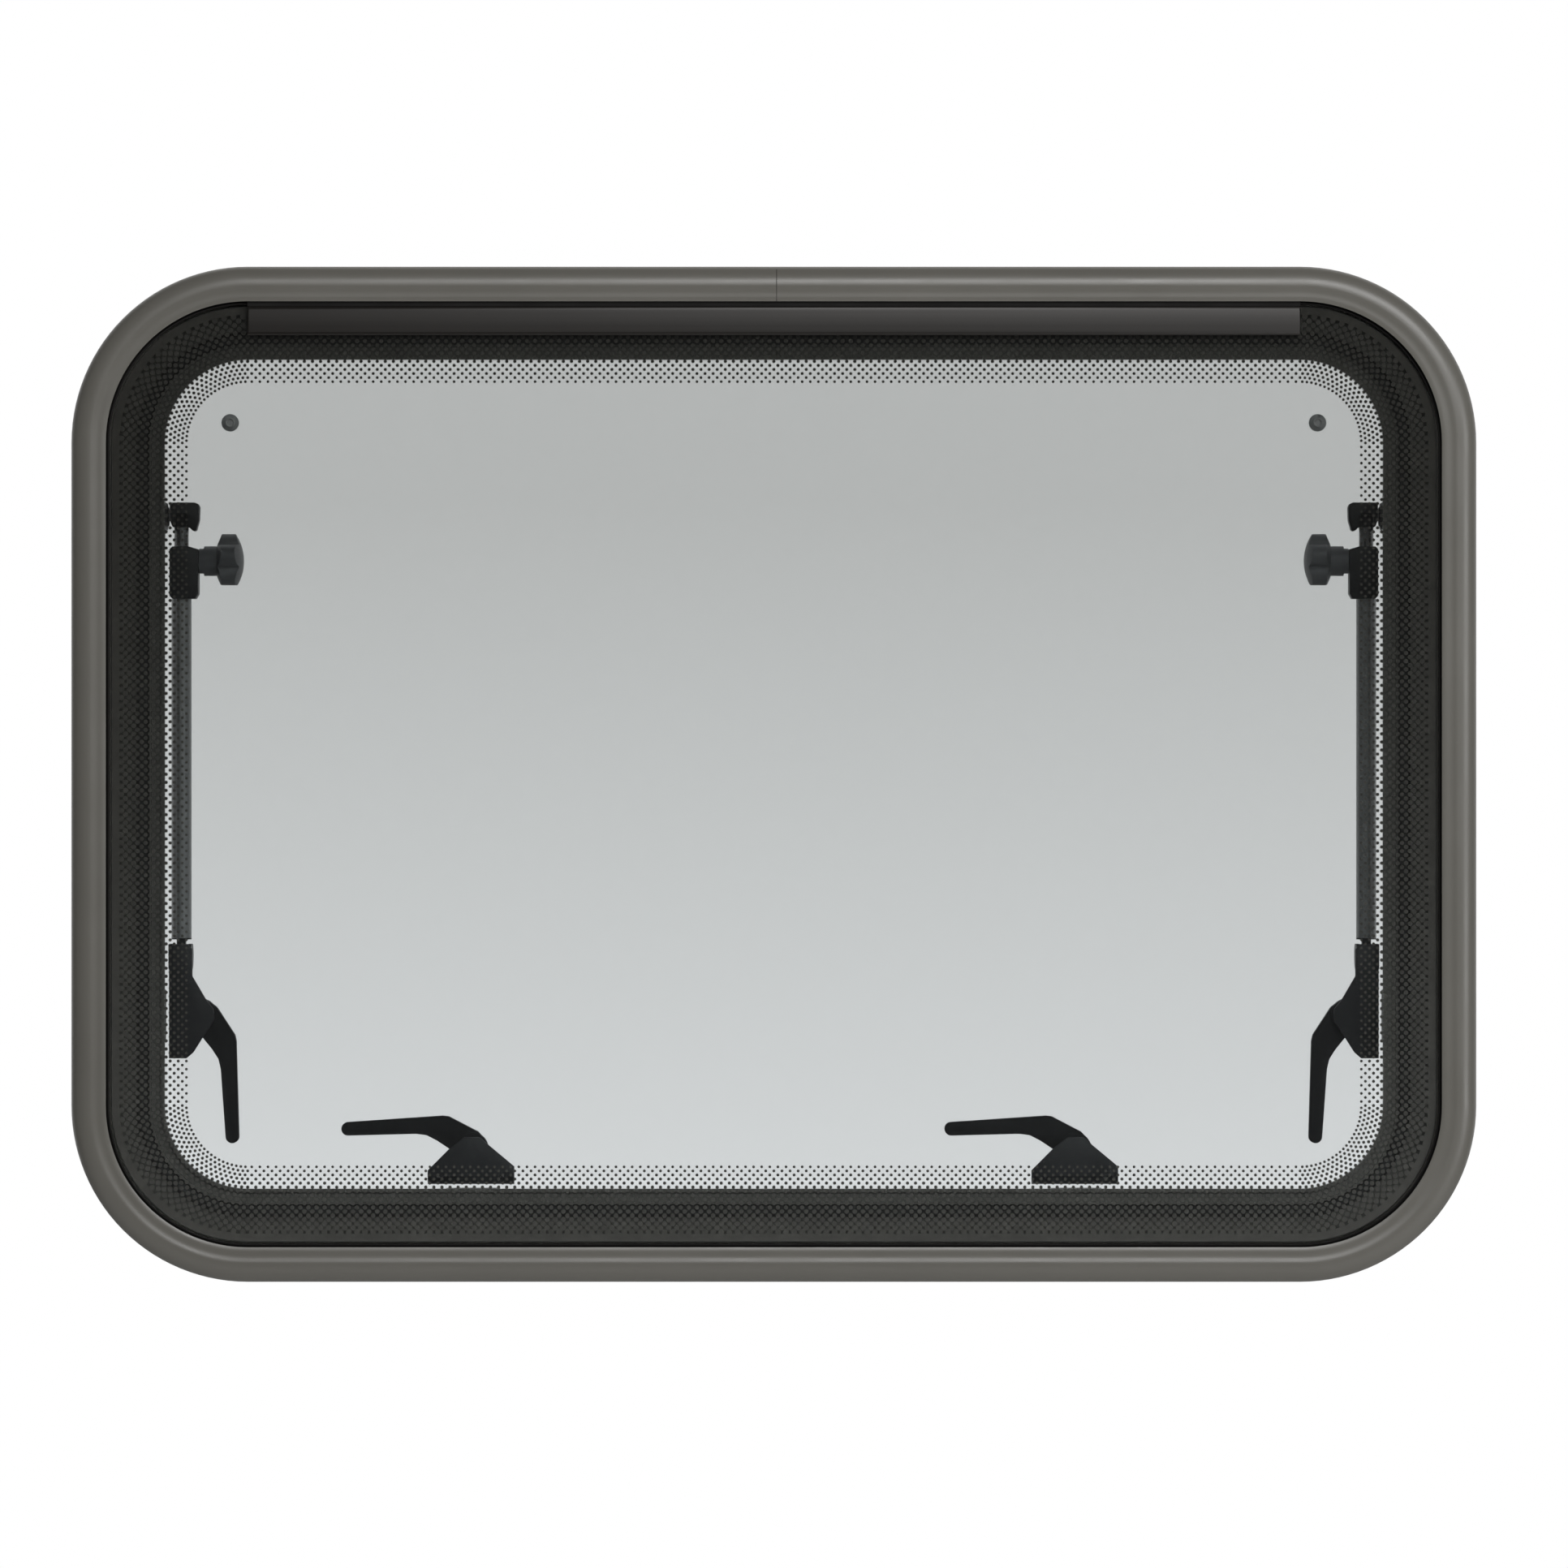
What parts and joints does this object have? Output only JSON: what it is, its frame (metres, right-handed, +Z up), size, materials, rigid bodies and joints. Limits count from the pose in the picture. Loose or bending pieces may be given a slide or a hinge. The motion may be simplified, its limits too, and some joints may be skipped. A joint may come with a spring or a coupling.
{
  "type": "caravan window",
  "caption": "Top-hung double acrylic window with rounded corners, bent metal frame, telescopic side stays with clamp knobs and turn catches.",
  "frame": {"origin": "centre of the window on the back face of the outer flange, which lies on the wall's outer skin", "axes": "+X right seen from outside, +Y through the wall into the vehicle, +Z up"},
  "size_m": [0.721, 0.0541, 0.521],
  "materials": {
    "frame_metal": "satin",
    "seal_rubber": "matt",
    "black_plastic": "fine grain",
    "screw_steel": "zinc plated",
    "tinted_acrylic": "polished, black printed border",
    "clear_acrylic": "polished",
    "rail_metal": "dark anodised",
    "stay_metal": "black anodised"
  },
  "bodies": {
    "frame": {"outer_frame": "frame_metal", "wall_seal": "seal_rubber", "sash_seal": "seal_rubber", "clamp_frame": "black_plastic", "clamp_screws": "screw_steel", "stay_bracket_left": "black_plastic", "stay_bracket_right": "black_plastic", "keeper_bottom_left": "black_plastic", "keeper_bottom_right": "black_plastic", "keeper_side_left": "black_plastic", "keeper_side_right": "black_plastic"},
    "sash": {"outer_pane": "tinted_acrylic", "inner_pane": "clear_acrylic", "hinge_rail": "rail_metal", "breather_plug_left": "black_plastic", "breather_plug_right": "black_plastic", "catch_base_bottom_left": "black_plastic", "catch_base_bottom_right": "black_plastic", "side_mount_left": "black_plastic", "side_mount_right": "black_plastic"},
    "catch_bottom_left": {"catch_lever_bottom_left": "black_plastic"},
    "catch_bottom_right": {"catch_lever_bottom_right": "black_plastic"},
    "catch_side_left": {"catch_lever_side_left": "black_plastic"},
    "catch_side_right": {"catch_lever_side_right": "black_plastic"},
    "stay_left": {"stay_tube_left": "stay_metal", "stay_foot_left": "black_plastic", "clamp_block_left": "black_plastic"},
    "stay_right": {"stay_tube_right": "stay_metal", "stay_foot_right": "black_plastic", "clamp_block_right": "black_plastic"},
    "rod_left": {"stay_rod_left": "stay_metal", "rod_end_left": "black_plastic"},
    "rod_right": {"stay_rod_right": "stay_metal", "rod_end_right": "black_plastic"},
    "knob_left": {"clamp_knob_left": "black_plastic"},
    "knob_right": {"clamp_knob_right": "black_plastic"}
  },
  "joints": [
    {"name": "sash_hinge", "type": "hinge", "parent": "frame", "child": "sash", "pos_m": [0, -0.0032, 0.24352], "axis": [-1, 0, 0], "range_deg": [0, 45]},
    {"name": "stay_swing_left", "type": "hinge", "parent": "sash", "child": "stay_left", "pos_m": [-0.306, 0.034, -0.094], "axis": [-1, 0, 0], "range_deg": [0, 13.25]},
    {"name": "stay_swing_right", "type": "hinge", "parent": "sash", "child": "stay_right", "pos_m": [0.306, 0.034, -0.094], "axis": [-1, 0, 0], "range_deg": [0, 13.25]},
    {"name": "stay_slide_left", "type": "slide", "parent": "stay_left", "child": "rod_left", "axis": [0, 0, 1], "range_m": [0, 0.0665]},
    {"name": "stay_slide_right", "type": "slide", "parent": "stay_right", "child": "rod_right", "axis": [0, 0, 1], "range_m": [0, 0.0665]},
    {"name": "knob_turn_left", "type": "hinge", "parent": "stay_left", "child": "knob_left", "pos_m": [-0.285, 0.034, 0.1101], "axis": [1, 0, 0], "range_deg": [0, 360]},
    {"name": "knob_turn_right", "type": "hinge", "parent": "stay_right", "child": "knob_right", "pos_m": [0.285, 0.034, 0.1101], "axis": [-1, 0, 0], "range_deg": [0, 360]},
    {"name": "catch_turn_bottom_left", "type": "hinge", "parent": "sash", "child": "catch_bottom_left", "pos_m": [-0.1555, 0.027, -0.193], "axis": [0, 1, 0], "range_deg": [0, 90]},
    {"name": "catch_turn_bottom_right", "type": "hinge", "parent": "sash", "child": "catch_bottom_right", "pos_m": [0.1555, 0.027, -0.193], "axis": [0, 1, 0], "range_deg": [0, 90]},
    {"name": "catch_turn_side_left", "type": "hinge", "parent": "sash", "child": "catch_side_left", "pos_m": [-0.2955, 0.027, -0.124], "axis": [0, -1, 0], "range_deg": [0, 90]},
    {"name": "catch_turn_side_right", "type": "hinge", "parent": "sash", "child": "catch_side_right", "pos_m": [0.2955, 0.027, -0.124], "axis": [0, 1, 0], "range_deg": [0, 90]}
  ],
  "couplings": [
    {"joint": "stay_swing_left", "follows": "sash_hinge", "ratio": 0.2944},
    {"joint": "stay_swing_right", "follows": "sash_hinge", "ratio": 0.2944},
    {"joint": "stay_slide_left", "follows": "sash_hinge", "m_per_rad": 0.084651},
    {"joint": "stay_slide_right", "follows": "sash_hinge", "m_per_rad": 0.084651}
  ]
}
